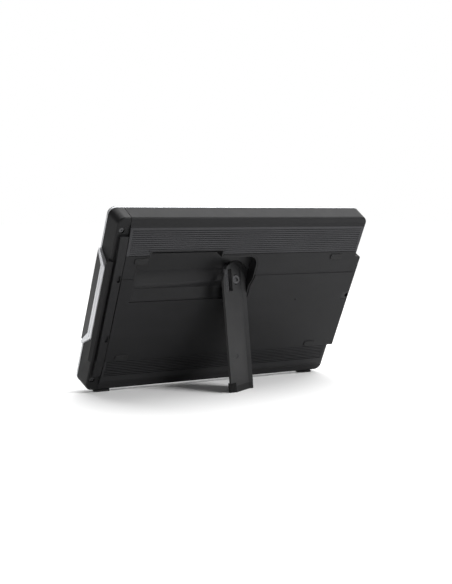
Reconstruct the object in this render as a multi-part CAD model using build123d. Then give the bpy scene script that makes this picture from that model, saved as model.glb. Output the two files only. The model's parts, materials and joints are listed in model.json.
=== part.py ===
"""Pen display with a swinging rear leg, standing on its lower edge and its leg.

Everything is first built in the tablet's own frame and then leaned back as one:
  x  across the tablet, positive to the user's right as they face the screen
  y  through the thickness, positive to the rear, 0 at the rear cover's rim
  z  up the tablet, 0 at its lower edge
Lengths are millimetres. After the lean the part stands on z = 0.
"""
from build123d import *
import math
import os

os.makedirs("parts", exist_ok=True)

# ---- driving dimensions -------------------------------------------------------------
WIDTH = 405.0            # outline across, without the side rails
HEIGHT = 272.0           # outline up the tablet
CORNER = 11.0            # outline corner radius
LEAN = 26.4              # lean back from vertical, degrees
FLOOR_DROP = 1.3         # how far the lower feet stand out below the rear lower edge
SHIFT_Y = -44.56         # moves the leaned tablet so that its extent is centred on y = 0

FRONT = -34.0            # front face of the bezel
BEZEL_BACK = -30.6       # bezel meets the bright trim
TRIM_BACK = -28.0        # trim meets the rear housing
BULGE = 4.5              # rear cover's flat middle stands this far out
BELT = 0.8               # extra height of the central belt
RIM_Y = -0.3             # rear face of the rim all round
RIM_ROUND = 2.8          # rounding between the walls and the rim
FIELD_SIDE = 197.5       # far side of the raised field
WALL = 2.4               # housing wall
REAR_INSET = 3.0         # side walls draw in this far towards the rear
TOP_INSET = 1.6          # top wall draws in this far towards the rear

ZONE_TOP = (217.0, 255.0)     # upper ribbed zone, low and high
ZONE_LOW = (18.0, 51.0)       # lower ribbed zone
BELT_Z = (89.2, 181.6)        # belt, low and high
RIB_PITCH = 3.0
RIB_WIDTH = 1.3
RIB_DEPTH = 0.7

SPLIT = 181.5            # seam between rear cover and port column
SEAM = 0.35              # visible gap between mouldings
RAIL_OUT = 203.8         # side rails stand out to here
RAIL_Z = (50.0, 210.0)   # side rails, low and high on the rear housing
BAND_IN, BAND_OUT = 200.4, 205.2   # bright side bands, from the housing wall outwards
BAND_Y = (-15.5, -4.4)   # depth of the bright band along a rail
RAIL_TOP = 2.8           # rear face of the side rail beside the ports
WING_OUT = 205.2         # the other side rail reaches out to here, flush with the field
PANEL_IN = 178.0         # key panels start here
PANEL_FRONT = -34.6      # key panels stand a little proud of the bezel

# leg hinge: axis tilted up from the rear normal, in the plane x = PIVOT_X
AXIS_TILT = 30.6
PIVOT = (1.3, BULGE, 175.7)   # where the axis meets the rear surface
SWING = 92.6                  # stowed to deployed, degrees
SEAT = 13.9                   # depth of the hub's seat along the axis
LEG_LOW, LEG_HIGH = 152.3, 209.6
LEG_FACE = 0.6                # leg's sunken outer face when stowed
LEG_END = 149.0               # where the leg's plate ends and its rubber foot begins
FOOT_END = 160.0              # longer than needed, cut flat by the desk
NOTCH_X, NOTCH_Z = 144.0, 195.2   # corner of the leg's plate cut away for its foot
SLOT_Y, SLOT_FROM = -20.0, 211.6  # finger slot: its floor and where its deep part starts
SLOT_LOW, SLOT_HIGH = 36.5, 222.0 # finger slot: its near end and its top
LIP = [(4.2, LEG_LOW), (LEG_FACE, 158.4)]          # lip that rises to the rear surface
UNDER = [(-2.65, 161.5), (2.8, LEG_LOW)]           # underside along the swing plane
BOSS = 13.4                                        # leg's boss ends here along the axis
BUSH = 4.2                                         # outer radius of the pivot's bush

# pads, screws and lock
PAD_X, PAD_Z = 158.0, (57.0, 208.6)
PAD_SIZE = (19.5, 8.6)
PAD_SUNK, PAD_OUT = 0.9, 1.3                       # pad below and above the rear surface
CASE_SCREWS = ((-PAD_X, PAD_Z[0]), (PAD_X, PAD_Z[0]), (-PAD_X, PAD_Z[1]))
COLUMN_SCREW_X, COLUMN_SCREW_Z = 192.4, (252.0, 20.0)
LOCK_X, LOCK_Z = -201.0, 141.0
LOCK_FLOOR = -3.6

# front
GLASS = (356.0, 206.0)
KEY_SIZE = (12.0, 16.0)
KEY_X = 191.5
KEY_Z = (190.0, 171.0, 152.0, 133.0)
STRIP_Z = (79.0, 119.0)
POWER = (168.0, 17.5)

SIN, COS = math.sin(math.radians(AXIS_TILT)), math.cos(math.radians(AXIS_TILT))
HINGE = Axis(PIVOT, (0, COS, SIN))


# ---- small helpers --------------------------------------------------------------------
def facing(y):
    """Sketch plane across the tablet at depth y; sketch x, y are tablet x, z."""
    return Plane(origin=(0, y, 0), x_dir=(1, 0, 0), z_dir=(0, -1, 0))


def slab(sketch, y0, y1):
    """Extrude a sketch drawn in x, z from depth y0 to depth y1."""
    return extrude(facing(y1) * sketch, amount=y1 - y0)


def bar(points, x0, x1):
    """Extrude a closed outline given as (y, z) points from x0 to x1."""
    face = make_face(Polyline(*[(y, z) for y, z in points], close=True))
    return Pos(x0, 0, 0) * extrude(Plane.YZ * face, amount=x1 - x0)


def plate(points, y0, y1):
    """Extrude a closed outline given as (x, z) points from depth y0 to y1."""
    return slab(make_face(Polyline(*points, close=True)), y0, y1)


def brick(x, y, z):
    """Box from three (low, high) pairs."""
    size = [b - a for a, b in (x, y, z)]
    mid = [(a + b) / 2 for a, b in (x, y, z)]
    return Pos(*mid) * Box(*size)


def rounded(width, height, radius, x=0.0, z=0.0):
    """Rounded rectangle sketch centred on x, z."""
    return Pos(x, z) * RectangleRounded(width, height, radius)


def hub_round(radius, near, far):
    """Cylinder about the hinge axis between two depths measured inwards along it."""
    top = Vector(*PIVOT) - Vector(0, COS, SIN) * near
    base = Plane(origin=top, z_dir=(0, -COS, -SIN))
    return extrude(base * Circle(radius), amount=far - near)


def lean(shape):
    """Tip the tablet back about its rear lower edge and stand it on the desk."""
    return Pos(0, SHIFT_Y, FLOOR_DROP) * shape.rotate(Axis.X, -LEAN)


def deploy(shape):
    """Swing a leg piece from its stowed place to its standing place."""
    return shape.rotate(HINGE, SWING)


NODES = {}


def keep(name, *shapes):
    """Record one node: one solid, or a group of separate solids."""
    solids = [s for shape in shapes for s in shape.solids()]
    NODES[name] = solids[0] if len(solids) == 1 else Compound(children=solids)


# ---- housing ---------------------------------------------------------------------------
def field_profile(inset=0.0):
    """Raised rear field's section as (y, z): flat middle, tapering and bevelled at both ends."""
    i = inset
    return [(TRIM_BACK + 3, 10.0 + i), (RIM_Y - i, 13.0 + i), (2.0 - i, 17.6 + i),
            (BULGE - i, 53.0), (BULGE - i, 216.0), (2.6 - i, 256.6 - i),
            (RIM_Y - i, 261.6 - i), (TRIM_BACK + 3, 264.0 - i)]


def rim_block(inset=0.0):
    """Housing up to its rim: walls draw in towards the rear, edge rounded."""
    i = inset
    front = rounded(WIDTH - 0.6 - 2 * i, HEIGHT - 0.4 - 2 * i, CORNER - i, z=HEIGHT / 2)
    rear = rounded(WIDTH - 0.6 - 2 * REAR_INSET - 2 * i, HEIGHT - 0.4 - 2 * TOP_INSET - 2 * i,
                   CORNER - 1.0 - i, z=HEIGHT / 2)
    block = loft([facing(TRIM_BACK) * front, facing(RIM_Y - i) * rear])
    return fillet(block.faces().sort_by(Axis.Y)[-1].edges(), RIM_ROUND - i / 2)


def field_block(inset=0.0):
    """Raised field on the rim, bevelled along its far side."""
    i = inset
    far = make_face(Polyline((-212, TRIM_BACK + 3), (-FIELD_SIDE + i, RIM_Y - i),
                             (-FIELD_SIDE + 5.2 + i, BULGE + 0.7 - i), (SPLIT + 20, BULGE + 0.7 - i),
                             (SPLIT + 20, TRIM_BACK + 3), close=True))
    column = extrude(far, amount=HEIGHT)
    span = bar(field_profile(inset), -WIDTH / 2, SPLIT - SEAM)
    return span & column & brick((-WIDTH / 2 + WALL + 2, 220), (-40, 20), (-5, 280))


def housing_block(inset=0.0):
    """Solid the rear mouldings are carved from."""
    return rim_block(inset) + field_block(inset)


def rail_bulge(side):
    """Side rail of the rear housing: stands out from the side wall, flush with the field at one end."""
    low, high = RAIL_Z
    section = [(197.0, -6.0), (199.0, -6.0), (199.0, TRIM_BACK), (BAND_IN - 0.1, TRIM_BACK),
               (BAND_IN - 0.1, BAND_Y[1])]
    if side > 0:
        section += [(RAIL_OUT, BAND_Y[1]), (RAIL_OUT, -1.8), (200.2, RAIL_TOP), (197.0, RAIL_TOP)]
    else:
        section += [(WING_OUT, BAND_Y[1]), (WING_OUT, BULGE - 1.8), (WING_OUT - 1.8, BULGE),
                    (193.0, BULGE), (193.0, BULGE - 5.0), (197.0, BULGE - 5.0)]
    out = max(x for x, y in section)
    outline = make_face(Polyline(*[(side * x, y) for x, y in section], close=True))
    rail = Pos(0, 0, low) * extrude(outline, amount=high - low)
    end = [(TRIM_BACK - 1, low), (TRIM_BACK - 1, high), (BULGE + 0.1, high - 2.0), (BULGE + 0.1, low + 2.0)]
    taper = [(190.0, low), (199.8, low), (out, low + 3.0), (out, high - 5.0), (200.0, high),
             (190.0, high)]
    ends = plate([(side * x, z) for x, z in taper], -40, 20)
    return rail & bar(end, -220, 220) & ends


def band_window(side):
    """Room in a side wall for the bright band and the key panel's flange."""
    edge = trim_path()[:5] + [(TRIM_BACK - 2, 63.5), (TRIM_BACK - 2, 212.6)]
    return bar(edge[1:5] + edge[5:], *sorted((side * (BAND_IN - 0.1), side * 212)))


def rib_grooves(x0, x1):
    """Fine horizontal grooves over the two ribbed zones."""
    cuts = []
    slopes = ((ZONE_TOP, (216.0, BULGE), (257.0, 2.2)), (ZONE_LOW, (17.0, 1.0), (53.0, BULGE)))
    for (low, high), (za, ya), (zb, yb) in slopes:
        tilt = math.degrees(math.atan2(yb - ya, zb - za))
        count = int((high - low) / RIB_PITCH)
        for k in range(count + 1):
            z = low + k * RIB_PITCH
            y = ya + (yb - ya) * (z - za) / (zb - za)
            groove = Box(x1 - x0, 2 * RIB_DEPTH, RIB_WIDTH)
            cuts.append(Pos((x0 + x1) / 2, y, z) * Rot(-tilt, 0, 0) * groove)
    return cuts


def recess_outline(grow=0.0):
    """Outline of the leg's recess and finger slot seen from behind, x to the stowed foot."""
    g = grow
    arc = ThreePointArc((-10.5, 212.0 + g), (-19.0 - g * 0.7, 208.0 + g * 0.7),
                        (-23.4 - g, 199.0))
    edges = [Polyline((-23.4 - g, 199.0), (-23.4 - g, 176.0), (-19.8 - g, 166.0),
                      (-19.8 - g, 148.4 - g), (161.2 + g, 148.4 - g), (161.2 + g, 212.0 + g),
                      (145.0 + g, 212.0 + g), (144.2 + g, SLOT_HIGH + g), (SLOT_LOW - g, SLOT_HIGH + g),
                      (SLOT_LOW - g, 212.0 + g), (-10.5, 212.0 + g)), arc]
    return make_face(edges)


def recess_section():
    """Section of the recess: lower bevel parallel to the swing, stepped floor, deep finger slot."""
    return [(BULGE + 4, 141.5), (BULGE, 148.4), (-3.5, 161.9), (-3.5, 171.0), (-11.8, 185.0),
            (-11.8, SLOT_FROM), (SLOT_Y, SLOT_FROM), (SLOT_Y, 227.0), (BULGE + 4, 227.0)]


def corner_tab(clear=0.0):
    """Tab of the rear cover over the foot's low corner; its underside follows the swing."""
    c = clear
    section = [(BULGE, 196.0 - c), (3.5 - c, 196.0 - c), (-6.0 - c, 212.0), (-6.0 - c, 213.0),
               (BULGE, 213.0)]
    return bar(section, 143.0 - c, 162.0 + c)


def recess_volume():
    """All the room that the leg needs inside the tablet."""
    room = slab(recess_outline(), SLOT_Y - 1, BULGE + 4) & bar(recess_section(), -40, 170)
    room = room - brick((-40, SLOT_LOW), (-30, -11.8), (200, 230))
    room = room - brick((145.0, 170), (-30, -11.8), (200, 230))
    pocket = hub_round(27.4, -30, SEAT) & brick((-40, 12.0), (-40, BULGE + 4), (130, 200))
    pocket = pocket & slab(recess_outline(), -24.0, BULGE + 4)
    return room + pocket + hub_round(15.8, -30, SEAT)


def tray_solid():
    """Liner of the recess: thin walls, a stepped floor and the hub's inclined seat."""
    section = [(BULGE - 0.3, 130.0), (BULGE - 0.3, 230.0), (SLOT_Y - 1.8, 230.0),
               (SLOT_Y - 1.8, SLOT_FROM - 1.9), (-13.8, SLOT_FROM - 1.9), (-13.8, 184.2),
               (-5.5, 170.2), (-5.5, 161.0), (2.5, 146.0), (2.5, 130.0)]
    outer = slab(recess_outline(1.9), SLOT_Y - 2, BULGE - 0.3) & bar(section, -40, 170)
    outer = outer - brick((-40, SLOT_LOW - 1.9), (-30, -13.8), (190, 232))
    outer = outer - brick((146.9, 170), (-30, -13.8), (190, 232))
    hub = hub_round(29.6, -30, SEAT + 2.1) & slab(recess_outline(1.9), -30.0, BULGE - 0.3)
    body = outer + hub - recess_volume() - corner_tab(0.4)
    body = body - hub_round(21.0, SEAT + 2.1, SEAT + 20) - hub_round(4.25, 0, SEAT + 20)
    pad = slab(rounded(PAD_SIZE[0] + 1, PAD_SIZE[1] + 1, 3.0, PAD_X, PAD_Z[1]), BULGE - 1.4, 9)
    return biggest(body - pad)


def make_housing():
    """Rear cover, port column and port strip."""
    shell = housing_block() - (housing_block(WALL) & brick((-220, 220), (-27.5, 9), (-5, 280)))
    shell = shell - brick((-198, 198), (-29, -27.4), (6, 266)) - band_window(-1) - band_window(1)
    belt = brick((-199, SPLIT - SEAM), (BULGE - 0.6, BULGE + BELT), BELT_Z) & housing_block_wide()
    right = shell & brick((-220, SPLIT - SEAM), (-40, 20), (-5, 280))
    cover = right + belt + rail_bulge(-1) + corner_tab()
    lip = slab(recess_outline(4.6), -1.0, BULGE + BELT) & housing_block_wide()
    cover = cover + (lip & brick((-30, 166), (-2, BULGE), (140, 232)))
    cover = cover - (slab(recess_outline(2.3), -30, 20) - corner_tab())
    grooves = rib_grooves(-190.0, 177.5)
    cover = cover - grooves
    for x in (-PAD_X, PAD_X):
        for z in PAD_Z:
            pocket = slab(rounded(PAD_SIZE[0] + 0.4, PAD_SIZE[1] + 0.4, 3.0, x, z), BULGE - PAD_SUNK, 9)
            cover = cover - pocket
    for x, z in CASE_SCREWS:
        cover = cover - slab(Pos(x, z) * Circle(3.4), -5, 9)
    cover = cover - slab(Pos(-107.3, 138.0) * Circle(1.1), -5, 9)
    cover = cover - brick((-207, -191), (-7.2, 9), (LOCK_Z - 6.2, LOCK_Z + 6.2))
    NODES["rear_cover"] = biggest(cover)

    column = shell & brick((SPLIT + SEAM, 220), (-40, 20), (-5, 280))
    column = column + rail_bulge(1)
    floor = brick((SPLIT + 0.6, 195.5), (-3.0, -0.6), (24.0, 250.0))
    channel = brick((SPLIT + 0.6, 197.2), (-0.6, 12), (26.0, 246.6))
    column = column + (floor & housing_block()) - channel
    for z in COLUMN_SCREW_Z:
        column = column - slab(Pos(COLUMN_SCREW_X, z) * Circle(3.9), -4.0, 9)
        column = column - slab(Pos(COLUMN_SCREW_X, z) * Circle(2.2), -9, 0)
    NODES["port_column"] = biggest(column)

    strip = brick((SPLIT + 1.0, 194.0), (-0.5, BULGE + 1.3), (27.0, 245.0))
    strip = strip & bar(strip_profile(), 150, 220)
    for z in (BELT_Z[0] + 1.0, BELT_Z[1] + 1.5):
        strip = strip - slab(rounded(4.2, 10.5, 1.2, 185.6, z), 3.2, 9)
    NODES["port_strip"] = biggest(strip)


def strip_profile():
    """Section of the raised strip over the ports, following the cover's bulge."""
    return [(-0.5, 27.0), (2.4, 27.0), (BULGE + 1.0, 53.0), (BULGE + 1.0, 216.0),
            (3.6, 245.0), (-0.5, 245.0)]


def housing_block_wide():
    """Generous block used to trim raised features to the housing's outline."""
    draw = 2.9
    return slab(rounded(WIDTH - 2 * draw - 1, HEIGHT - 4, CORNER, z=HEIGHT / 2), -30, 12)


def biggest(shape):
    """Largest solid of a shape: drops slivers that a cut leaves behind."""
    return shape.solids().sort_by(SortBy.VOLUME)[-1]


# ---- leg -------------------------------------------------------------------------------
def leg_plate():
    """Leg when stowed: sunken face with a lip, stiffening spine, round hub and boss."""
    beam = LIP + [(LEG_FACE, LEG_HIGH), (-2.4, LEG_HIGH), (-2.4, 194.5), (-7.5, 191.0),
                  (-7.5, 181.0), (-2.65, 172.5)] + UNDER
    hub = LIP + [(LEG_FACE, LEG_HIGH), (-2.4, LEG_HIGH), (-4.9, 206.5), (-4.9, 181.5),
                 (-2.65, 179.5)] + UNDER
    hub_x = PIVOT[0]
    end = make_face([Line((hub_x, LEG_HIGH), (60, LEG_HIGH)), Line((60, LEG_HIGH), (60, LEG_LOW)),
                     Line((60, LEG_LOW), (hub_x, LEG_LOW)),
                     ThreePointArc((hub_x, LEG_LOW), (-22.5, 181.0), (hub_x, LEG_HIGH))])
    leg = bar(beam, 1.0, LEG_END) + (bar(hub, -30.0, 30.0) & slab(end, -20, 10))
    cover = bar([LIP[0], LIP[1], (LEG_FACE, 230), (-40, 230), (-40, 100), (4.2, 100)], -60, 60)
    leg = leg + (hub_round(15.0, -30, BOSS) & cover)
    leg = leg - brick((NOTCH_X, 200), (-20, 10), (NOTCH_Z, 230))
    leg = leg - hub_round(7.4, -30, 8.0) - hub_round(4.26, -30, 20)
    leg = leg - slab(rounded(31.6, 20.4, 1.5, 0.95, 195.2), -2.0, 9)
    leg = leg - slab(rounded(29.0, 9.6, 1.2, 0.95, 190.6), -5.4, 9)
    return biggest(leg - arrow_mark())


def arrow_mark():
    """Plain debossed arrow that says which way the leg swings."""
    head = plate([(104.0, 189.0), (112.0, 189.0), (108.0, 182.0)], LEG_FACE - 0.5, 9)
    shaft = brick((106.8, 109.2), (LEG_FACE - 0.5, 9), (189.0, 201.0))
    return head + shaft


def leg_foot():
    """Rubber foot on the leg's end, ribbed where it slips under the cover's tab."""
    section = LIP + [(LEG_FACE, NOTCH_Z), (-4.4, 203.6), (-8.0, 203.6), (-8.0, 185.0),
                     (-2.65, 172.5)] + UNDER
    corner = [(LEG_FACE, NOTCH_Z), (-4.4, 203.6), (-8.0, 203.6), (-8.0, NOTCH_Z)]
    foot = bar(section, LEG_END, FOOT_END) + bar(corner, NOTCH_X, LEG_END + 1)
    fall = math.degrees(math.atan2(5.0, 8.4))
    for k in range(4):
        z = 196.6 + 1.9 * k
        y = LEG_FACE - (z - NOTCH_Z) * 5.0 / 8.4
        foot = foot - Pos(152, y, z) * Rot(fall, 0, 0) * Box(20, 1.4, 0.9)
    return foot


def make_leg():
    """Leg, its foot, the lock slider and the hinge's own pieces."""
    keep("stand_leg", deploy(leg_plate()))
    slider = slab(rounded(31.0, 9.4, 1.2, 0.95, 200.4), -1.9, LEG_FACE + 0.2)
    for k in range(5):
        slider = slider - brick((-9.0 + 4 * k, -7.6 + 4 * k), (LEG_FACE - 0.3, 3), (197.4, 203.4))
    keep("lock_slider", deploy(slider))
    keep("leg_foot", deploy(leg_foot()))
    keep("pivot_screw", hub_round(5.9, 4.6, 8.0) - hub_round(3.1, 3.0, 6.8)
         + hub_round(2.5, 8.0, 21.6))
    keep("pivot_bush", hub_round(BUSH, 8.0, SEAT + 2.1) - hub_round(2.56, 0, 30))
    keep("friction_washer", hub_round(10.0, BOSS + 0.04, SEAT) - hub_round(4.3, 0, 30))
    keep("hinge_bracket", hub_round(19.0, SEAT + 2.1, SEAT + 3.7) - hub_round(2.6, 0, 30))
    keep("pivot_nut", hub_nut())


def hub_nut():
    """Hexagon nut behind the hinge bracket."""
    top = Vector(*PIVOT) - Vector(0, COS, SIN) * (SEAT + 3.7)
    base = Plane(origin=top, z_dir=(0, -COS, -SIN))
    return extrude(base * RegularPolygon(5.0, 6), amount=3.4) - hub_round(2.55, 0, 30)


# ---- bright trim and front -------------------------------------------------------------
def trim_path():
    """Side view of the trim beside a key panel: it steps back and widens into a band."""
    return [(BEZEL_BACK, 212.6), (TRIM_BACK, 212.6), (BAND_Y[1], 197.0), (BAND_Y[1], 87.0),
            (TRIM_BACK, 63.5), (BEZEL_BACK, 63.5), (BEZEL_BACK, 68.0), (BAND_Y[0], 89.5),
            (BAND_Y[0], 194.5), (BEZEL_BACK, 207.0)]


def make_trim():
    """One closed bright frame between the bezel and the rear housing."""
    ring = slab(rounded(WIDTH, HEIGHT, CORNER, z=HEIGHT / 2)
                - rounded(WIDTH - 7, HEIGHT - 7, CORNER - 3, z=HEIGHT / 2), BEZEL_BACK, TRIM_BACK)
    for side in (-1, 1):
        x0, x1 = sorted((side * BAND_IN, side * BAND_OUT))
        gx0, gx1 = sorted((side * (BAND_OUT - 0.5), side * (BAND_OUT + 1)))
        ring = ring - brick(sorted((side * 199.6, side * 210)), (-32, -27), (68.0, 207.0))
        band = bar(trim_path(), x0, x1) - brick((gx0, gx1), (-11.2, -8.8), (86.0, 198.0))
        ring = ring + band
    rounding = (rounded(WIDTH + 6, HEIGHT + 6, CORNER, z=HEIGHT / 2)
                - rounded(WIDTH - 0.8, HEIGHT - 0.8, CORNER, z=HEIGHT / 2))
    NODES["silver_trim"] = biggest(ring - slab(rounding, -29.6, -29.1))


def side_panel(side):
    """Key panel: front plate over the bezel's edge and a flange down the rail."""
    front = [(PANEL_FRONT, 68.5), (BEZEL_BACK, 68.5), (BEZEL_BACK, 206.5), (PANEL_FRONT, 206.5)]
    flange = [(BEZEL_BACK - 0.2, 70.6), (-18.5, 88.6), (-18.5, 195.4), (BEZEL_BACK - 0.2, 204.6)]
    panel = bar(front, *sorted((side * PANEL_IN, side * RAIL_OUT)))
    panel = panel + bar(flange, *sorted((side * BAND_IN, side * RAIL_OUT)))
    for z in KEY_Z:
        panel = panel - slab(rounded(KEY_SIZE[0] + 0.6, KEY_SIZE[1] + 0.6, 2.3, side * KEY_X, z),
                             -40, -20)
    mid = (STRIP_Z[0] + STRIP_Z[1]) / 2
    slot = rounded(7.0, STRIP_Z[1] - STRIP_Z[0], 3.0, side * KEY_X, mid)
    return panel - slab(slot, PANEL_FRONT - 1, PANEL_FRONT + 1.2)


def make_front():
    """Bezel, glass, key panels with their keys, touch strips, power button and lens."""
    body = slab(rounded(WIDTH - 2.6, HEIGHT - 2.6, CORNER - 1, z=HEIGHT / 2), FRONT, BEZEL_BACK)
    body = body - slab(rounded(GLASS[0] + 0.5, GLASS[1] + 0.5, 4.2, z=HEIGHT / 2), -36, -32.3)
    body = body - slab(rounded(346.0, 196.0, 2.0, z=HEIGHT / 2), -40, -20)
    for side in (-1, 1):
        body = body - brick(sorted((side * (PANEL_IN - 0.3), side * 220)), (-40, -20),
                            (68.2, 206.8))
    body = body - slab(Pos(*POWER) * Circle(4.8), -40, -20)
    body = body - slab(Pos(POWER[0] - 14, POWER[1]) * Circle(1.5), -40, -20)
    keep("bezel", body)
    keep("cover_glass", slab(rounded(*GLASS, 4.0, z=HEIGHT / 2), FRONT + 0.1, -32.3))
    mid = (STRIP_Z[0] + STRIP_Z[1]) / 2
    for side, word in ((-1, "left"), (1, "right")):
        NODES[f"key_panel_{word}"] = biggest(side_panel(side))
        strip = rounded(6.6, STRIP_Z[1] - STRIP_Z[0] - 0.4, 2.8, side * KEY_X, mid)
        keep(f"touch_strip_{word}", slab(strip, PANEL_FRONT + 0.2, PANEL_FRONT + 1.2))
        for number, z in enumerate(KEY_Z, start=1):
            cap = slab(rounded(*KEY_SIZE, 2.0, side * KEY_X, z), PANEL_FRONT - 0.8, -29.0)
            flange = slab(rounded(KEY_SIZE[0] + 2.2, KEY_SIZE[1] + 1.8, 1.0, side * KEY_X, z),
                          -30.2, -29.0)
            keep(f"key_{word}_{number}", cap + flange)
        domes = [slab(Pos(side * KEY_X, z) * Circle(3.0), -27.6, -26.0) for z in KEY_Z]
        keep(f"key_domes_{word}", *domes)
        board = rounded(11.0, 120.0, 1.0, side * (KEY_X - 0.6), 138.0)
        keep(f"key_board_{word}", slab(board, -26.0, -24.6))
    button = slab(Pos(*POWER) * Circle(4.5), FRONT - 0.5, -28.6)
    keep("power_button", button + slab(Pos(*POWER) * Circle(5.8), -30.2, -28.6))
    switch = slab(rounded(30.0, 14.0, 1.0, 162.0, 16.5), -26.0, -24.6)
    keep("power_switch", switch + slab(Pos(*POWER) * Circle(2.5), -27.2, -26.0))
    keep("status_lens", slab(Pos(POWER[0] - 14, POWER[1]) * Circle(1.45), FRONT + 0.1, BEZEL_BACK))


# ---- inside ------------------------------------------------------------------------------
def make_inside():
    """Panel stack, chassis, boards, connectors and fasteners."""
    centre = HEIGHT / 2
    keep("lcd_panel", slab(rounded(358.0, 208.0, 1.5, z=centre), BEZEL_BACK, -27.4))
    keep("backlight", slab(rounded(356.0, 206.0, 1.5, z=centre), -27.4, -26.0))
    keep("pen_sensor_board", slab(rounded(352.0, 204.0, 1.0, z=centre), -26.0, -25.4))
    shield = slab(rounded(360.0, 216.0, 3.0, z=centre), -25.4, -24.6)
    keep("shield_plate", shield)
    ring = slab(rounded(WIDTH - 14, HEIGHT - 10, 8.0, z=centre)
                - rounded(WIDTH - 26, HEIGHT - 22, 5.0, z=centre), -24.6, -7.0)
    for x, z in CASE_SCREWS:
        span = brick(sorted((x, math.copysign(190.0, x))), (-24.6, -21.6), (z - 5, z + 5))
        ring = ring + span + slab(Pos(x, z) * Circle(5.0), -24.6, 1.6)
    ring = ring + brick((-8.0, 8.0), (-24.6, -21.6), (9.0, 20.0))
    for x, z in CASE_SCREWS:
        ring = ring - slab(Pos(x, z) * Circle(1.5), -16, 9)
    for z in COLUMN_SCREW_Z:
        ring = ring - slab(Pos(COLUMN_SCREW_X, z) * Circle(2.05), -16, 9)
    NODES["chassis"] = biggest(ring)
    screws = []
    for x, z in CASE_SCREWS:
        screws.append(slab(Pos(x, z) * Circle(1.45), -12, 1.65) + slab(Pos(x, z) * Circle(2.9), 1.65, 3.2))
    keep("case_screws", *screws)
    keep("main_board", slab(rounded(190.0, 84.0, 2.0, -30.0, 78.0), -20.6, -19.0))
    posts = [slab(Pos(-30 + dx, 78 + dz) * Circle(2.5), -24.6, -20.6)
             for dx in (-90, 90) for dz in (-37, 37)]
    keep("board_standoffs", *posts)
    chips = [((-60, 90), (26, 26)), ((-5, 70), (16, 16)), ((30, 98), (12, 20)), ((-100, 60), (20, 12))]
    keep("board_chips", *[slab(rounded(w, d, 0.8, x, z), -19.0, -17.2) for (x, z), (w, d) in chips])
    keep("display_driver", slab(rounded(120.0, 22.0, 1.0, 85.0, 244.0), -23.4, -21.8))
    keep("port_board", slab(rounded(10.0, 130.0, 1.0, 184.0, 100.0), -20.4, -18.8))
    sockets = [slab(rounded(9.0, depth, 1.0, 184.0, z), -18.8, -5.2)
               for z, depth in ((52.0, 11.0), (80.0, 16.0), (112.0, 14.0), (146.0, 14.0))]
    keep("port_sockets", *sockets)


def make_trimmings():
    """Pads, feet, lock insert and column screws."""
    pads = [slab(rounded(*PAD_SIZE, 2.8, x, z), BULGE - PAD_SUNK, BULGE + PAD_OUT)
            for x in (-PAD_X, PAD_X) for z in PAD_Z]
    keep("rubber_pads", *pads)
    feet = [brick((x - 10.5, x + 10.5), (-13.0, 0.2), (-6.0, 1.3)) - housing_block()
            for x in (-172.5, 172.5)]
    keep("lower_feet", *feet)
    insert = rail_bulge(-1) + brick((-199, -191.2), (-7.0, BULGE), (100, 160))
    insert = insert & brick((-207, -191.2), (-7.0, 9), (LOCK_Z - 6.0, LOCK_Z + 6.0))
    insert = insert - slab(Pos(LOCK_X, LOCK_Z) * Circle(3.5), LOCK_FLOOR, 9)
    NODES["lock_insert"] = biggest(insert)
    screws = []
    for z in COLUMN_SCREW_Z:
        head = slab(Pos(COLUMN_SCREW_X, z) * Circle(3.4), -3.9, -2.0)
        socket = slab(Pos(COLUMN_SCREW_X, z) * RegularPolygon(1.6, 6), -3.0, 0)
        screws.append(head - socket + slab(Pos(COLUMN_SCREW_X, z) * Circle(2.0), -9.0, -3.9))
    keep("column_screws", *screws)


def finish(name, shape):
    """Place a node; rubber that meets the desk is cut flat by it."""
    placed = lean(shape)
    if name in ("leg_foot", "lower_feet"):
        desk = Pos(0, 0, 200) * Box(900, 900, 400)
        cut = [biggest(solid & desk) for solid in placed.solids()]
        placed = cut[0] if len(cut) == 1 else Compound(children=cut)
    return placed


def main():
    make_housing()
    NODES["stand_tray"] = tray_solid()
    make_leg()
    make_trim()
    make_front()
    make_inside()
    make_trimmings()
    for name, shape in NODES.items():
        export_step(finish(name, shape), f"parts/{name}.step")


if __name__ == "__main__":
    main()
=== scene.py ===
"""Looks of a pen tablet that stands on its lower edge and a swing-out rear leg.

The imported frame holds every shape, size and joint. This script gives the outside nodes a finished
copy, dresses every piece in the material of its finish, and sets a plain studio around the tablet.
"""

import json
import logging
from dataclasses import dataclass
from enum import Enum
from math import cos, radians, sin

import bmesh
import bpy
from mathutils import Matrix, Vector

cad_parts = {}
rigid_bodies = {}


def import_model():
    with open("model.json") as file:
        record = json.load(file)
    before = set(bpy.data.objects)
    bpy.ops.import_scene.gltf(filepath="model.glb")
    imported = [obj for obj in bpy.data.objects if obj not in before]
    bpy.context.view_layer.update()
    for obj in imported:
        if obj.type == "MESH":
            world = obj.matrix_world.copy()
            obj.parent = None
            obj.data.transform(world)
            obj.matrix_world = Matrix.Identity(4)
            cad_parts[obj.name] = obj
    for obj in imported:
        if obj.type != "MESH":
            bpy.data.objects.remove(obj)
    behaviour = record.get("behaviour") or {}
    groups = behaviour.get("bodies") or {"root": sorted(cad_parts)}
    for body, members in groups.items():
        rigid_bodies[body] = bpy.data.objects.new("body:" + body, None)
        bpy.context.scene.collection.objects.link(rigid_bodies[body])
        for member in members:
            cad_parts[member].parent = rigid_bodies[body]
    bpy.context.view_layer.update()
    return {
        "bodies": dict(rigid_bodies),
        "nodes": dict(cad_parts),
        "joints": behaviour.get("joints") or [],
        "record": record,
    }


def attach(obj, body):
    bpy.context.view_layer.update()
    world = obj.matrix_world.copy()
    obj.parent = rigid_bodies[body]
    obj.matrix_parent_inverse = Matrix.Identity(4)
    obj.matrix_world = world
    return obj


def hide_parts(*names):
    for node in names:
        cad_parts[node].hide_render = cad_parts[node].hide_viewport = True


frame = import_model()
log = logging.getLogger("pen_tablet")
MM = 0.001
LEAN = radians(26.4)            # how far the tablet leans back
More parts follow.
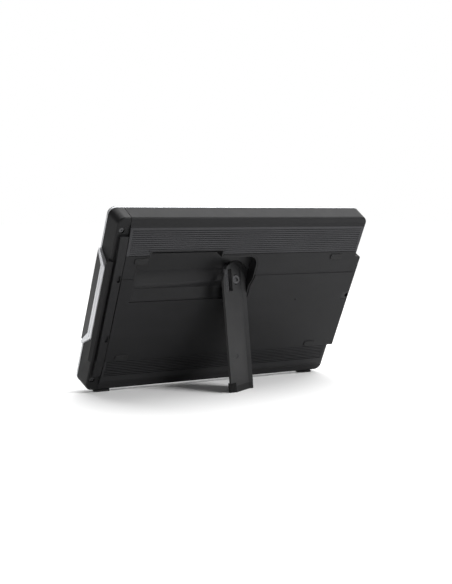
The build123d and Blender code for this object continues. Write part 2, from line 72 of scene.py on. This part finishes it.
LOWER_EDGE = -18.65 * MM        # the lower edge's place, measured up the leaned face
RIBS_ABOVE = (216.5 * MM, 257.5 * MM)
RIBS_BELOW = (17.0 * MM, 52.5 * MM)
LOWER_RIBS_SHARE = 0.3          # how much of the upper ribs' painted highlight the lower ones have
CREASE = radians(32.0)
WELD = 0.002 * MM               # points nearer than this are one
FLAT = radians(1.0)             # faces nearer than this to one plane are one flat


# ---- node trees ------------------------------------------------------------------------
class Value:
    """A socket whose arithmetic adds Math nodes to its material."""

    def __init__(self, graph: "Graph", socket: bpy.types.NodeSocket) -> None:
        """Wrap one output socket of a graph."""
        self.graph = graph
        self.socket = socket

    def _math(self, operation: str, *terms: object) -> "Value":
        """Add one Math node.

        Args:
            operation: the Math node's operation.
            terms: numbers or values, in the node's order.

        Returns:
            The node's result.
        """
        return self.graph.node("ShaderNodeMath", {"operation": operation}, dict(enumerate(terms)))

    def __add__(self, other: object) -> "Value":
        """Sum."""
        return self._math("ADD", self, other)

    __radd__ = __add__

    def __sub__(self, other: object) -> "Value":
        """Difference."""
        return self._math("SUBTRACT", self, other)

    def __rsub__(self, other: object) -> "Value":
        """Difference, reflected."""
        return self._math("SUBTRACT", other, self)

    def __mul__(self, other: object) -> "Value":
        """Product."""
        return self._math("MULTIPLY", self, other)

    __rmul__ = __mul__

    def band(self, low: float, high: float) -> "Value":
        """Ramp smoothly from nought at low to one at high."""
        settings = {"interpolation_type": "SMOOTHSTEP"}
        return self.graph.node("ShaderNodeMapRange", settings, {"Value": self, 1: low, 2: high})


class Graph:
    """One material's node tree, ending in a Principled shader."""

    def __init__(self, name: str) -> None:
        """Start a material.

        Args:
            name: the material's name.
        """
        self.material = bpy.data.materials.new(name)
        self.material.use_nodes = True
        self.nodes = self.material.node_tree.nodes
        self.links = self.material.node_tree.links
        self.shader = self.nodes["Principled BSDF"]
        place = self.nodes.new("ShaderNodeTexCoord")
        self.place = Value(self, place.outputs["Object"])

    def node(self, kind: str, settings: dict, inputs: dict, output: object = 0) -> Value:
        """Add any node.

        Args:
            kind: the node's type.
            settings: properties, set before the sockets.
            inputs: numbers, tuples or values by socket name or index.
            output: name or index of the output that is wanted.

        Returns:
            That output.
        """
        made = self.nodes.new(kind)
        for key, setting in settings.items():
            setattr(made, key, setting)
        for key, given in inputs.items():
            self._feed(made.inputs[key], given)
        return Value(self, made.outputs[output])

    def _feed(self, socket: bpy.types.NodeSocket, given: object) -> None:
        """Link a value to a socket, or set a plain number on it."""
        if isinstance(given, Value):
            self.links.new(given.socket, socket)
        else:
            socket.default_value = given

    def fix(self, **plain: object) -> None:
        """Set numbers and colours that are the same all over, on the shader's own sockets."""
        for key, given in plain.items():
            title = key.replace("_", " ").title().replace("Ior", "IOR")
            self.shader.inputs[title].default_value = given

    def drive(self, socket: str, value: Value) -> None:
        """Feed what changes over the surface into one of the shader's sockets."""
        self._feed(self.shader.inputs[socket], value)

    def noise(self, scale: float, detail: float = 2.0, stretch: tuple = (1, 1, 1)) -> Value:
        """Fractal noise over the object's own coordinates.

        Args:
            scale: features to a metre.
            detail: octaves.
            stretch: scale along each axis.

        Returns:
            The noise, from nought to one.
        """
        at = self.node("ShaderNodeMapping", {}, {"Vector": self.place, "Scale": stretch})
        inputs = {"Vector": at, "Scale": scale, "Detail": detail, "Roughness": 0.55}
        return self.node("ShaderNodeTexNoise", {}, inputs)

    def cells(self, scale: float) -> Value:
        """Distance to the nearest of many scattered points."""
        inputs = {"Vector": self.place, "Scale": scale}
        return self.node("ShaderNodeTexVoronoi", {"feature": "F1"}, inputs)

    def mix(self, share: Value, low: object, high: object) -> Value:
        """Mix two colours, each a tuple or a value, by a share."""
        low, high = [(*shade, 1) if isinstance(shade, tuple) else shade for shade in (low, high)]
        return self.node("ShaderNodeMix", {"data_type": "RGBA"}, {0: share, 6: low, 7: high}, 2)

    def up_the_tablet(self) -> Value:
        """Height above the tablet's lower edge, measured along its leaned face."""
        depth, height = [self.node("ShaderNodeSeparateXYZ", {}, {0: self.place}, part)
                         for part in (1, 2)]
        return height * cos(LEAN) + depth * sin(LEAN) - LOWER_EDGE

    def bump(self, height: Value, depth: float, strength: float = 1.0) -> None:
        """Give the surface a relief.

        Args:
            height: the relief, from nought to one.
            depth: its real depth in metres.
            strength: how much of it is used.
        """
        inputs = {"Height": height, "Distance": depth, "Strength": strength}
        self.drive("Normal", self.node("ShaderNodeBump", {}, inputs))


def scaled(colour: tuple, factor: float) -> tuple:
    """Make a colour lighter or darker."""
    return tuple(min(1.0, part * factor) for part in colour)


# ---- finishes --------------------------------------------------------------------------
@dataclass(frozen=True)
class MouldedPlastic:
    """Spark-eroded mould texture: fine grain, faint flow marks, softly varied gloss; where ribs are
    given, a painted highlight lightens the ribbed zones.
    """

    name: str
    colour: tuple
    roughness: float = 0.5
    grain: float = 2600.0
    depth: float = 0.00003
    mottle: float = 0.10
    ribs: tuple = ()
    # how much lighter the painted highlight makes the ribbed zones
    rib_highlight_gain: float = 3.2

    def make(self) -> bpy.types.Material:
        """Build the material."""
        graph = Graph(self.name)
        flow = graph.noise(14.0, 3.0, (1.0, 2.2, 2.2))
        cloud = graph.noise(70.0, 4.0)
        grain = graph.noise(self.grain, 3.0)
        share = (flow * 0.55 + cloud * 0.25 + grain * 0.2).band(0.34, 0.66)
        low, high = scaled(self.colour, 1 - self.mottle), scaled(self.colour, 1 + self.mottle)
        colour = graph.mix(share, low, high)
        # Painted highlight: the ribbed zones are lightened as if their ribs caught the light, the upper
        # zone fully and the lower one less.
        if self.ribs:
            painted_rib_highlight = graph.mix(share, scaled(low, self.rib_highlight_gain), scaled(high, self.rib_highlight_gain))
            colour = graph.mix(self._rib_highlight_mask(graph), colour, painted_rib_highlight)
        graph.drive("Base Color", colour)
        graph.drive("Roughness", grain * 0.16 + cloud * 0.10 + (self.roughness - 0.13))
        graph.fix(specular_ior_level=0.2)
        graph.bump(grain * 0.7 + graph.noise(self.grain * 0.35, 2.0) * 0.3, self.depth, 0.55)
        return graph.material

    def _rib_highlight_mask(self, graph: Graph) -> Value:
        """Mask of the painted highlight: one within the upper ribbed zone, less within the lower one."""
        up = graph.up_the_tablet()
        upper, lower = [up.band(low, low + MM) * (1 - up.band(high - MM, high))
                        for low, high in self.ribs]
        return upper + lower * LOWER_RIBS_SHARE


@dataclass(frozen=True)
class SatinPaint:
    """Metallic paint with fine flakes under a thin satin coat."""

    name: str
    colour: tuple
    roughness: float = 0.34

    def make(self) -> bpy.types.Material:
        """Build the material."""
        graph = Graph(self.name)
        flakes = graph.cells(5200.0)
        drift = graph.noise(40.0, 2.0)
        share = (flakes * 0.8 + drift * 0.4).band(0.2, 0.9)
        graph.drive("Base Color", graph.mix(share, scaled(self.colour, 0.86), scaled(self.colour, 1.1)))
        graph.drive("Metallic", flakes.band(0.1, 0.6) * 0.25 + 0.35)
        graph.drive("Roughness", drift * 0.12 + flakes * 0.08 + (self.roughness - 0.08))
        graph.fix(coat_weight=0.25, coat_roughness=0.28)
        graph.bump(flakes, 0.000008, 0.5)
        return graph.material


@dataclass(frozen=True)
class Rubber:
    """Moulded elastomer: dull, faintly dusty, with a soft pebble."""

    name: str
    colour: tuple

    def make(self) -> bpy.types.Material:
        """Build the material."""
        graph = Graph(self.name)
        pebble = graph.cells(1500.0)
        dust = graph.noise(160.0, 5.0)
        share = (dust * 0.8 + pebble * 0.2).band(0.35, 0.75)
        graph.drive("Base Color", graph.mix(share, scaled(self.colour, 0.85), scaled(self.colour, 1.35)))
        graph.drive("Roughness", dust * 0.2 + 0.62)
        graph.fix(specular_ior_level=0.3)
        graph.bump(pebble * 0.6 + dust * 0.4, 0.00005, 0.5)
        return graph.material


@dataclass(frozen=True)
class ScreenGlass:
    """Etched cover glass over a dark display, its active area a shade lighter than the border."""

    name: str
    border: tuple
    active: tuple
    half_width: float
    centre_height: float
    half_height: float

    def make(self) -> bpy.types.Material:
        """Build the material."""
        graph = Graph(self.name)
        across = graph.node("ShaderNodeSeparateXYZ", {}, {0: graph.place}, 0)
        along = graph.up_the_tablet() - self.centre_height
        inside = self._within(across, self.half_width) * self._within(along, self.half_height)
        haze = graph.noise(9.0, 2.0)
        etch = graph.noise(6500.0, 2.0)
        shade = inside * (haze * 0.3 + 0.7)
        graph.drive("Base Color", graph.mix(shade, self.border, self.active))
        graph.drive("Roughness", etch * 0.12 + haze * 0.06 + 0.16)
        graph.fix(coat_weight=0.12, coat_roughness=0.2, specular_ior_level=0.22)
        graph.bump(etch, 0.000006, 0.6)
        return graph.material

    def _within(self, value: Value, half: float) -> Value:
        """One where a value lies within half of nought."""
        soft = 0.0004
        square = value * value
        return 1 - square.band((half - soft) ** 2, (half + soft) ** 2)


@dataclass(frozen=True)
class TurnedSteel:
    """Machined or pressed metal with fine tool marks."""

    name: str
    colour: tuple
    roughness: float = 0.32
    marks: tuple = (1.0, 1.0, 9.0)

    def make(self) -> bpy.types.Material:
        """Build the material."""
        graph = Graph(self.name)
        lines = graph.noise(900.0, 3.0, self.marks)
        stain = graph.noise(120.0, 4.0)
        share = (lines * 0.6 + stain * 0.4).band(0.3, 0.7)
        graph.drive("Base Color", graph.mix(share, scaled(self.colour, 0.82), scaled(self.colour, 1.12)))
        graph.drive("Roughness", lines * 0.18 + stain * 0.1 + (self.roughness - 0.1))
        graph.fix(metallic=1.0)
        graph.bump(lines, 0.00001, 0.5)
        return graph.material


@dataclass(frozen=True)
class SolderMask:
    """Circuit board: lacquer over copper tracks with a scatter of plated vias."""

    name: str
    colour: tuple
    metal: tuple = (0.62, 0.5, 0.28)

    def make(self) -> bpy.types.Material:
        """Build the material."""
        graph = Graph(self.name)
        vias = 1 - graph.cells(420.0).band(0.06, 0.12)
        tracks = graph.noise(260.0, 1.0, (1.0, 6.0, 1.0)).band(0.52, 0.56)
        lacquer = graph.mix(tracks, self.colour, scaled(self.colour, 1.7))
        graph.drive("Base Color", graph.mix(vias, lacquer, self.metal))
        graph.drive("Metallic", vias)
        graph.drive("Roughness", tracks * 0.1 + 0.35)
        graph.bump(tracks, 0.00003, 0.6)
        return graph.material


class Finish(Enum):
    """Every finish on the tablet."""

    BODY = MouldedPlastic("body_plastic", (0.0106, 0.0106, 0.0114), 0.6,
                          ribs=(RIBS_ABOVE, RIBS_BELOW))
    COLUMN = MouldedPlastic("column_plastic", (0.0062, 0.0062, 0.0067), 0.52)
    STRIP = MouldedPlastic("strip_plastic", (0.011, 0.011, 0.0118), 0.5)
    TRAY = MouldedPlastic("tray_plastic", (0.011, 0.011, 0.0117), 0.44, 1900.0, 0.00002)
    LEG = MouldedPlastic("leg_plastic", (0.0205, 0.0205, 0.0212), 0.48, 2200.0)
    SLIDER = MouldedPlastic("slider_plastic", (0.026, 0.026, 0.028), 0.4, 2200.0)
    PANEL = MouldedPlastic("panel_plastic", (0.012, 0.012, 0.013), 0.36, 3000.0, 0.00002)
    BEZEL = MouldedPlastic("bezel_plastic", (0.014, 0.014, 0.015), 0.42, 2600.0)
    KEY = MouldedPlastic("key_plastic", (0.02, 0.02, 0.021), 0.42, 2600.0)
    TOUCH = MouldedPlastic("touch_plastic", (0.01, 0.01, 0.011), 0.24, 4200.0, 0.00001)
    LENS = MouldedPlastic("lens_plastic", (0.55, 0.6, 0.66), 0.3, 3000.0, 0.00001)
    ACETAL = MouldedPlastic("bush_acetal", (0.7, 0.69, 0.64), 0.36)
    GUIDE = MouldedPlastic("light_guide", (0.8, 0.8, 0.79), 0.4)
    STACK = MouldedPlastic("panel_stack", (0.012, 0.012, 0.014), 0.3)
    CHIP = MouldedPlastic("chip_resin", (0.018, 0.018, 0.019), 0.5, 3500.0)
    SILVER = SatinPaint("silver_paint", (0.66, 0.67, 0.69))
    RUBBER = Rubber("foot_rubber", (0.0095, 0.0095, 0.01))
    GLASS = ScreenGlass("screen_glass", border=(0.004, 0.004, 0.0045), active=(0.011, 0.0115, 0.013),
                        half_width=172 * MM, centre_height=136 * MM, half_height=97 * MM)
    STEEL = TurnedSteel("screw_steel", (0.085, 0.085, 0.088), 0.4)
    BRIGHT = TurnedSteel("bright_steel", (0.5, 0.5, 0.51), 0.3)
    SHEET = TurnedSteel("shield_sheet", (0.6, 0.61, 0.62), 0.3, (12.0, 1.0, 1.0))
    CASTING = TurnedSteel("chassis_casting", (0.33, 0.33, 0.34), 0.55, (1.0, 1.0, 1.0))
    PLATED = TurnedSteel("plated_shell", (0.68, 0.68, 0.69), 0.22)
    BOARD = SolderMask("solder_mask", (0.012, 0.07, 0.03))


MADE: dict = {}     # the materials made so far, by finish


def dress(piece: bpy.types.Object, finish: Finish) -> None:
    """Give a piece one finish all over.

    Args:
        piece: the object, a node or a new piece.
        finish: the finish.
    """
    if finish not in MADE:
        MADE[finish] = finish.value.make()
    piece.data.materials.clear()
    piece.data.materials.append(MADE[finish])


# ---- pieces made from the frame's nodes --------------------------------------------------
@dataclass(frozen=True)
class Edge:
    """How a piece's edges are worked; a width of nought leaves them unrounded."""

    width: float = 0.3 * MM
    segments: int = 2
    sharp: float = radians(28.0)
    crease: float = CREASE


def smooth_shade(mesh: bpy.types.Mesh, angle: float) -> None:
    """Shade a mesh smoothly, with its real edges kept sharp."""
    mesh.polygons.foreach_set("use_smooth", [True] * len(mesh.polygons))
    mesh.set_sharp_from_angle(angle=angle)


def finished_copy(node: bpy.types.Object, edge: Edge) -> bpy.types.Object:
    """Make a finished piece in a node's place: merged, its flats joined, its edges as Edge says.

    Args:
        node: the frame's node.
        edge: how the edges are worked.

    Returns:
        The new piece.
    """
    shape = bmesh.new()
    shape.from_mesh(node.data)
    bmesh.ops.remove_doubles(shape, verts=shape.verts[:], dist=WELD)
    bmesh.ops.dissolve_limit(shape, angle_limit=FLAT, verts=shape.verts[:],
                             edges=shape.edges[:], use_dissolve_boundaries=False)
    mesh = bpy.data.meshes.new(f"{node.name}_finished")
    shape.to_mesh(mesh)
    shape.free()
    piece = bpy.data.objects.new(f"{node.name}_finished", mesh)
    bpy.context.scene.collection.objects.link(piece)
    smooth_shade(mesh, edge.crease)
    if edge.width > 0:
        rounding = piece.modifiers.new("edges", "BEVEL")
        rounding.width = edge.width
        rounding.segments = edge.segments
        rounding.limit_method = "ANGLE"
        rounding.angle_limit = edge.sharp
        rounding.use_clamp_overlap = True
        rounding.miter_outer = "MITER_ARC"
    shading = piece.modifiers.new("shading", "WEIGHTED_NORMAL")
    shading.mode = "FACE_AREA"
    shading.keep_sharp = True
    shading.weight = 100
    return piece


@dataclass
class Assembly:
    """A sub-assembly: which nodes it finishes, how, and on which body."""

    frame: dict
    body: str = "tablet"

    def finish(self, name: str, finish: Finish, edge: Edge, slot: str) -> bpy.types.Object:
        """Finish one node and let the new piece stand for it.

        Args:
            name: the node's name.
            finish: its finish.
            edge: how its edges are worked.
            slot: the record's material slot; not used.

        Returns:
            The new piece.
        """
        piece = finished_copy(self.frame["nodes"][name], edge)
        dress(piece, finish)
        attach(piece, self.body)
        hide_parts(name)
        log.info("%s on %s, %d faces", piece.name, self.body, len(piece.data.polygons))
        return piece

    def keep(self, name: str, finish: Finish) -> None:
        """Keep a node's own shape and give it its finish."""
        dress(self.frame["nodes"][name], finish)
        log.info("%s kept", name)


@dataclass
class RearHousing(Assembly):
    """Rear cover, port column and strip, recess tray, pads, feet, bright trim, lock opening, screws."""

    plain: Edge = Edge(0.0, 0, crease=radians(20.0))
    strip: Edge = Edge(0.45 * MM, 3)
    soft: Edge = Edge(0.7 * MM, 3)
    trim: Edge = Edge(0.25 * MM, 2)
    fine: Edge = Edge(0.22 * MM, 2)

    def build(self) -> None:
        """Finish every outside piece of the rear."""
        self.finish("rear_cover", Finish.BODY, self.plain, "body_plastic")
        self.finish("port_column", Finish.COLUMN, self.plain, "body_plastic")
        self.finish("port_strip", Finish.STRIP, self.strip, "strip_plastic")
        self.finish("stand_tray", Finish.TRAY, self.plain, "tray_plastic")
        self.finish("rubber_pads", Finish.RUBBER, self.soft, "rubber")
        self.finish("lower_feet", Finish.RUBBER, self.soft, "rubber")
        self.finish("silver_trim", Finish.SILVER, self.trim, "silver")
        self.finish("lock_insert", Finish.PANEL, self.fine, "body_plastic")
        self.keep("column_screws", Finish.STEEL)
        self.keep("case_screws", Finish.STEEL)


@dataclass
class SwingLeg(Assembly):
    """Leg with its foot and the slider on its hub."""

    body: str = "leg"
    arm: Edge = Edge(0.45 * MM, 3)
    foot: Edge = Edge(0.4 * MM, 2)
    slider: Edge = Edge(0.25 * MM, 2)

    def build(self) -> None:
        """Finish the leg's pieces."""
        self.finish("stand_leg", Finish.LEG, self.arm, "leg_plastic")
        self.finish("leg_foot", Finish.RUBBER, self.foot, "rubber")
        self.body = "leg_lock"
        self.finish("lock_slider", Finish.SLIDER, self.slider, "leg_plastic")


@dataclass
class Hinge(Assembly):
    """Pivot screw, bush, washer, bracket and nut."""

    screw: Edge = Edge(0.3 * MM, 3)

    def build(self) -> None:
        """Finish the hinge's pieces."""
        self.finish("pivot_screw", Finish.STEEL, self.screw, "steel")
        self.keep("pivot_bush", Finish.ACETAL)
        self.keep("friction_washer", Finish.BRIGHT)
        self.keep("hinge_bracket", Finish.BRIGHT)
        self.keep("pivot_nut", Finish.BRIGHT)


@dataclass
class FrontFace(Assembly):
    """Bezel, glass, key panels, keys, touch strips, power button and lens."""

    keys_to_a_side: int = 4
    moulded: Edge = Edge(0.5 * MM, 3)
    glass: Edge = Edge(0.25 * MM, 2)
    touch: Edge = Edge(0.3 * MM, 2)

    def build(self) -> None:
        """Finish the front."""
        self.finish("bezel", Finish.BEZEL, self.moulded, "panel_plastic")
        self.finish("cover_glass", Finish.GLASS, self.glass, "glass")
        self.keep("status_lens", Finish.LENS)
        for side in ("left", "right"):
            self.body = "tablet"
            self.finish(f"key_panel_{side}", Finish.PANEL, self.moulded, "panel_plastic")
            self.finish(f"touch_strip_{side}", Finish.TOUCH, self.touch, "touch_plastic")
            for number in range(1, self.keys_to_a_side + 1):
                self.body = f"{side}_key_{number}"
                self.finish(f"key_{side}_{number}", Finish.KEY, self.moulded, "key_plastic")
        self.body = "power_key"
        self.finish("power_button", Finish.KEY, self.moulded, "key_plastic")


@dataclass
class Inside(Assembly):
    """Everything behind the covers keeps its shape and gets its finish."""

    finishes: tuple = (
        ("lcd_panel", Finish.STACK), ("backlight", Finish.GUIDE), ("pen_sensor_board", Finish.BOARD),
        ("shield_plate", Finish.SHEET), ("chassis", Finish.CASTING), ("main_board", Finish.BOARD),
        ("board_standoffs", Finish.BRIGHT), ("board_chips", Finish.CHIP),
        ("display_driver", Finish.BOARD), ("port_board", Finish.BOARD),
        ("port_sockets", Finish.PLATED), ("key_domes_left", Finish.CHIP),
        ("key_domes_right", Finish.CHIP), ("key_board_left", Finish.BOARD),
        ("key_board_right", Finish.BOARD), ("power_switch", Finish.BOARD),
    )

    def build(self) -> None:
        """Dress the inner nodes."""
        for name, finish in self.finishes:
            self.keep(name, finish)


# ---- studio ------------------------------------------------------------------------------
@dataclass
class Studio:
    """Pale floor, soft lights and the camera."""

    floor_size: float = 40.0
    air_light: float = 0.22
    focal: float = 81.3
    distance: float = 1.5228
    azimuth: float = radians(30.306)
    elevation: float = radians(4.396)
    target: tuple = (-0.02775, -0.04456, 0.13246)
    sky_away: tuple = (-0.45, -0.5, 1.0)
    sky_spread: float = radians(80.0)
    sky_strength: float = 3.3
    lights: tuple = (
        ("key_light", (-0.55, 0.9, 1.0), 0.5, 14.0),
        ("front_light", (-0.6, -1.6, 1.1), 1.2, 9.0),
    )

    def build(self) -> None:
        """Set the studio up."""
        self._floor()
        self._world()
        self._sky()
        for name, place, size, power in self.lights:
            self._light(name, place, size, power)
        self._camera()

    def _floor(self) -> None:
        """A plain pale floor."""
        shape = bmesh.new()
        bmesh.ops.create_grid(shape, x_segments=2, y_segments=2, size=self.floor_size / 2)
        mesh = bpy.data.meshes.new("floor")
        shape.to_mesh(mesh)
        shape.free()
        floor = bpy.data.objects.new("floor", mesh)
        bpy.context.scene.collection.objects.link(floor)
        graph = Graph("floor_paint")
        share = graph.noise(3.0, 3.0)
        graph.drive("Base Color", graph.mix(share, (0.94, 0.94, 0.94), (0.96, 0.96, 0.96)))
        graph.fix(roughness=0.9, specular_ior_level=0.1)
        floor.data.materials.append(graph.material)

    def _world(self) -> None:
        """White surroundings that light the scene less than they show."""
        world = bpy.data.worlds.new("studio_air")
        world.use_nodes = True
        tree = world.node_tree
        lighting = tree.nodes["Background"]
        shown = tree.nodes.new("ShaderNodeBackground")
        for air, strength in ((lighting, self.air_light), (shown, 1.0)):
            air.inputs["Color"].default_value = (1, 1, 1, 1)
            air.inputs["Strength"].default_value = strength
        path = tree.nodes.new("ShaderNodeLightPath")
        join = tree.nodes.new("ShaderNodeMixShader")
        tree.links.new(path.outputs["Is Camera Ray"], join.inputs[0])
        tree.links.new(lighting.outputs[0], join.inputs[1])
        tree.links.new(shown.outputs[0], join.inputs[2])
        tree.links.new(join.outputs[0], tree.nodes["World Output"].inputs["Surface"])
        bpy.context.scene.world = world
        bpy.context.scene.view_settings.view_transform = "Standard"

    def _sky(self) -> None:
        """Light floor and upper faces evenly from one very soft overhead source."""
        lamp = bpy.data.lights.new("sky_panel", "SUN")
        lamp.angle = self.sky_spread
        lamp.energy = self.sky_strength
        light = bpy.data.objects.new("sky_panel", lamp)
        light.rotation_euler = Vector(self.sky_away).to_track_quat("Z", "Y").to_euler()
        bpy.context.scene.collection.objects.link(light)

    def _light(self, name: str, place: tuple, size: float, power: float) -> None:
        """Hang one soft square light that faces the tablet.

        Args:
            name: the light's name.
            place: where it hangs.
            size: its side.
            power: its power in watts.
        """
        lamp = bpy.data.lights.new(name, "AREA")
        lamp.size = size
        lamp.energy = power
        light = bpy.data.objects.new(name, lamp)
        light.location = place
        aim = Vector(self.target) - Vector(place)
        light.rotation_euler = aim.to_track_quat("-Z", "Y").to_euler()
        bpy.context.scene.collection.objects.link(light)

    def _camera(self) -> None:
        """Set the camera behind the tablet, a little to one side."""
        lens = bpy.data.cameras.new("camera")
        lens.sensor_fit = "HORIZONTAL"
        lens.sensor_width = 36.0
        lens.lens = self.focal
        lens.clip_end = 50.0
        camera = bpy.data.objects.new("camera", lens)
        level = cos(self.elevation)
        away = Vector((sin(self.azimuth) * level, cos(self.azimuth) * level, sin(self.elevation)))
        camera.location = Vector(self.target) + away * self.distance
        camera.rotation_euler = (-away).to_track_quat("-Z", "Y").to_euler()
        bpy.context.scene.collection.objects.link(camera)
        bpy.context.scene.camera = camera


def main() -> None:
    """Build the studio, then each sub-assembly in order."""
    logging.basicConfig(level=logging.INFO, format="%(name)s: %(message)s")
    Studio().build()
    for assembly in (RearHousing, SwingLeg, Hinge, FrontFace, Inside):
        assembly(frame).build()


if __name__ == "__main__":
    main()
